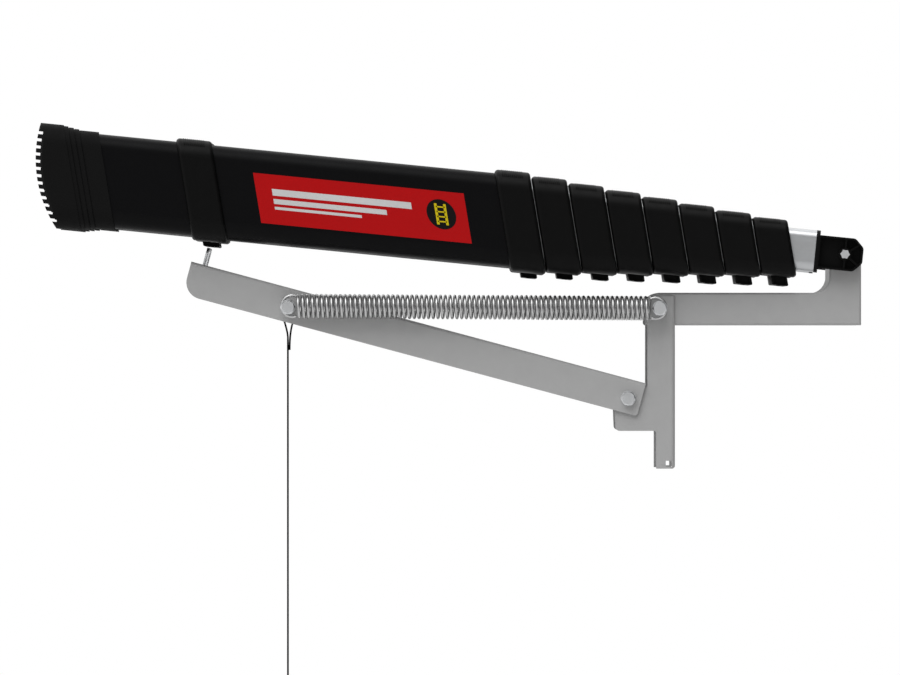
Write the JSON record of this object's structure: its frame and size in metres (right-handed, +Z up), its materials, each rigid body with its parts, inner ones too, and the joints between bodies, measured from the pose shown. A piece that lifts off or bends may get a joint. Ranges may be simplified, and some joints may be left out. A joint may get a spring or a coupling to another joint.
{
  "type": "telescoping loft ladder",
  "caption": "Telescoping loft ladder of nested stile tubes and slanted steps, folding on a spring-assisted hatch bracket with a pull cord.",
  "frame": {"origin": "centre of the four mounting screw holes, on the back face of the bracket that lies on the hatch frame", "axes": "+X into the hatch frame, +Z up, Y along the steps; the stowed ladder lies towards -X with its feet furthest out"},
  "size_m": [0.758, 0.42, 0.5394],
  "materials": {
    "black_aluminium": "satin black coating",
    "silver_aluminium": "satin anodised",
    "black_plastic": "moulded, fine grain",
    "button_plastic": "moulded",
    "guide_plastic": "moulded",
    "foot_rubber": "matte",
    "grey_steel": "matte grey coating",
    "bright_steel": "zinc plated",
    "spring_steel": "drawn wire",
    "label_film": "printed film",
    "cord_braid": "braided",
    "knob_plastic": "moulded"
  },
  "bodies": {
    "hatch_bracket": {"mounting_bracket": "grey_steel", "link_pivot_bolts": "bright_steel"},
    "swing_link": {"swing_link_left": "grey_steel", "swing_link_right": "grey_steel", "link_crossbar": "bright_steel"},
    "section_9": {"stile_tubes_9": "silver_aluminium", "end_plugs": "black_plastic", "ladder_pivot_screws": "bright_steel", "tube_guides_9": "guide_plastic"},
    "section_8": {"stile_tubes_8": "silver_aluminium", "stile_collars_8": "black_plastic", "rung_8": "black_aluminium", "tube_guides_8": "guide_plastic"},
    "section_7": {"stile_tubes_7": "silver_aluminium", "stile_collars_7": "black_plastic", "rung_7": "black_aluminium", "tube_guides_7": "guide_plastic"},
    "section_6": {"stile_tubes_6": "silver_aluminium", "stile_collars_6": "black_plastic", "rung_6": "black_aluminium", "tube_guides_6": "guide_plastic"},
    "section_5": {"stile_tubes_5": "silver_aluminium", "stile_collars_5": "black_plastic", "rung_5": "black_aluminium", "tube_guides_5": "guide_plastic"},
    "section_4": {"stile_tubes_4": "silver_aluminium", "stile_collars_4": "black_plastic", "rung_4": "black_aluminium", "tube_guides_4": "guide_plastic"},
    "section_3": {"stile_tubes_3": "silver_aluminium", "stile_collars_3": "black_plastic", "rung_3": "black_aluminium", "tube_guides_3": "guide_plastic"},
    "section_2": {"stile_tubes_2": "silver_aluminium", "stile_collars_2": "black_plastic", "rung_2": "black_aluminium", "tube_guides_2": "guide_plastic"},
    "section_1": {"stile_tubes_1": "black_aluminium", "stile_collars_1": "black_plastic", "rung_1": "black_aluminium", "bottom_step": "black_aluminium", "bottom_step_collars": "black_plastic", "foot_caps": "foot_rubber", "side_label": "label_film"},
    "buttons_8": {"release_buttons_8": "button_plastic"},
    "buttons_7": {"release_buttons_7": "button_plastic"},
    "buttons_6": {"release_buttons_6": "button_plastic"},
    "buttons_5": {"release_buttons_5": "button_plastic"},
    "buttons_4": {"release_buttons_4": "button_plastic"},
    "buttons_3": {"release_buttons_3": "button_plastic"},
    "buttons_2": {"release_buttons_2": "button_plastic"},
    "buttons_1": {"release_buttons_1": "button_plastic"},
    "lift_arm": {"lift_arm": "grey_steel", "arm_cross_rod": "bright_steel", "arm_bolts": "bright_steel"},
    "hook": {"hook_bail": "bright_steel"},
    "cord": {"pull_cord": "cord_braid", "pull_knob": "knob_plastic"},
    "spring": {"lift_springs": "spring_steel"},
    "spring_end": {"lift_spring_ends": "spring_steel"}
  },
  "joints": [
    {"name": "fold", "type": "hinge", "parent": "hatch_bracket", "child": "swing_link", "pos_m": [-0.0139, 0, 0.0776], "axis": [0, -1, 0], "range_deg": [0, 116.5]},
    {"name": "ladder_tilt", "type": "hinge", "parent": "swing_link", "child": "section_9", "pos_m": [0.1557, 0, 0.1271], "axis": [0, -1, 0], "range_deg": [-35.5, 0]},
    {"name": "arm_swing", "type": "hinge", "parent": "hatch_bracket", "child": "lift_arm", "pos_m": [-0.0427, 0, -0.0049], "axis": [0, -1, 0], "range_deg": [0, 82.4]},
    {"name": "hook_swing", "type": "hinge", "parent": "lift_arm", "child": "hook", "pos_m": [-0.43379, 0, 0.10962], "axis": [0, -1, 0], "range_deg": [0, 70]},
    {"name": "cord_swing", "type": "hinge", "parent": "lift_arm", "child": "cord", "pos_m": [-0.3547, 0, 0.0787], "axis": [0, -1, 0], "range_deg": [-82.4, 0]},
    {"name": "spring_swing", "type": "hinge", "parent": "hatch_bracket", "child": "spring", "pos_m": [-0.0139, 0, 0.0776], "axis": [0, -1, 0], "range_deg": [0, 68.3]},
    {"name": "spring_stretch", "type": "slide", "parent": "spring", "child": "spring_end", "axis": [-1, 0, 0.0032], "range_m": [0, 0.0705], "deforming": ["lift_springs", "lift_spring_ends"]},
    {"name": "slide_8", "type": "slide", "parent": "section_9", "child": "section_8", "axis": [-0.9952, 0, 0.0981], "range_m": [0, 0.2594]},
    {"name": "slide_7", "type": "slide", "parent": "section_8", "child": "section_7", "axis": [-0.9952, 0, 0.0981], "range_m": [0, 0.2594]},
    {"name": "slide_6", "type": "slide", "parent": "section_7", "child": "section_6", "axis": [-0.9952, 0, 0.0981], "range_m": [0, 0.2594]},
    {"name": "slide_5", "type": "slide", "parent": "section_6", "child": "section_5", "axis": [-0.9952, 0, 0.0981], "range_m": [0, 0.2594]},
    {"name": "slide_4", "type": "slide", "parent": "section_5", "child": "section_4", "axis": [-0.9952, 0, 0.0981], "range_m": [0, 0.2594]},
    {"name": "slide_3", "type": "slide", "parent": "section_4", "child": "section_3", "axis": [-0.9952, 0, 0.0981], "range_m": [0, 0.2594]},
    {"name": "slide_2", "type": "slide", "parent": "section_3", "child": "section_2", "axis": [-0.9952, 0, 0.0981], "range_m": [0, 0.2594]},
    {"name": "slide_1", "type": "slide", "parent": "section_2", "child": "section_1", "axis": [-0.9952, 0, 0.0981], "range_m": [0, 0.2594]},
    {"name": "press_8", "type": "slide", "parent": "section_8", "child": "buttons_8", "axis": [0.1628, 0, -0.9867], "range_m": [0, 0.003], "stiffness_N_per_m": 600, "springref_m": -0.001},
    {"name": "press_7", "type": "slide", "parent": "section_7", "child": "buttons_7", "axis": [0.1628, 0, -0.9867], "range_m": [0, 0.003], "stiffness_N_per_m": 600, "springref_m": -0.001},
    {"name": "press_6", "type": "slide", "parent": "section_6", "child": "buttons_6", "axis": [0.1628, 0, -0.9867], "range_m": [0, 0.003], "stiffness_N_per_m": 600, "springref_m": -0.001},
    {"name": "press_5", "type": "slide", "parent": "section_5", "child": "buttons_5", "axis": [0.1628, 0, -0.9867], "range_m": [0, 0.003], "stiffness_N_per_m": 600, "springref_m": -0.001},
    {"name": "press_4", "type": "slide", "parent": "section_4", "child": "buttons_4", "axis": [0.1628, 0, -0.9867], "range_m": [0, 0.003], "stiffness_N_per_m": 600, "springref_m": -0.001},
    {"name": "press_3", "type": "slide", "parent": "section_3", "child": "buttons_3", "axis": [0.1628, 0, -0.9867], "range_m": [0, 0.003], "stiffness_N_per_m": 600, "springref_m": -0.001},
    {"name": "press_2", "type": "slide", "parent": "section_2", "child": "buttons_2", "axis": [0.1628, 0, -0.9867], "range_m": [0, 0.003], "stiffness_N_per_m": 600, "springref_m": -0.001},
    {"name": "press_1", "type": "slide", "parent": "section_1", "child": "buttons_1", "axis": [0.1628, 0, -0.9867], "range_m": [0, 0.003], "stiffness_N_per_m": 600, "springref_m": -0.001}
  ],
  "couplings": [
    {"joint": "ladder_tilt", "follows": "fold", "ratio": -0.30461},
    {"joint": "arm_swing", "follows": "fold", "ratio": 0.70659},
    {"joint": "cord_swing", "follows": "fold", "ratio": -0.70659},
    {"joint": "spring_swing", "follows": "fold", "ratio": 0.5857},
    {"joint": "spring_stretch", "follows": "fold", "m_per_rad": 0.034163}
  ]
}
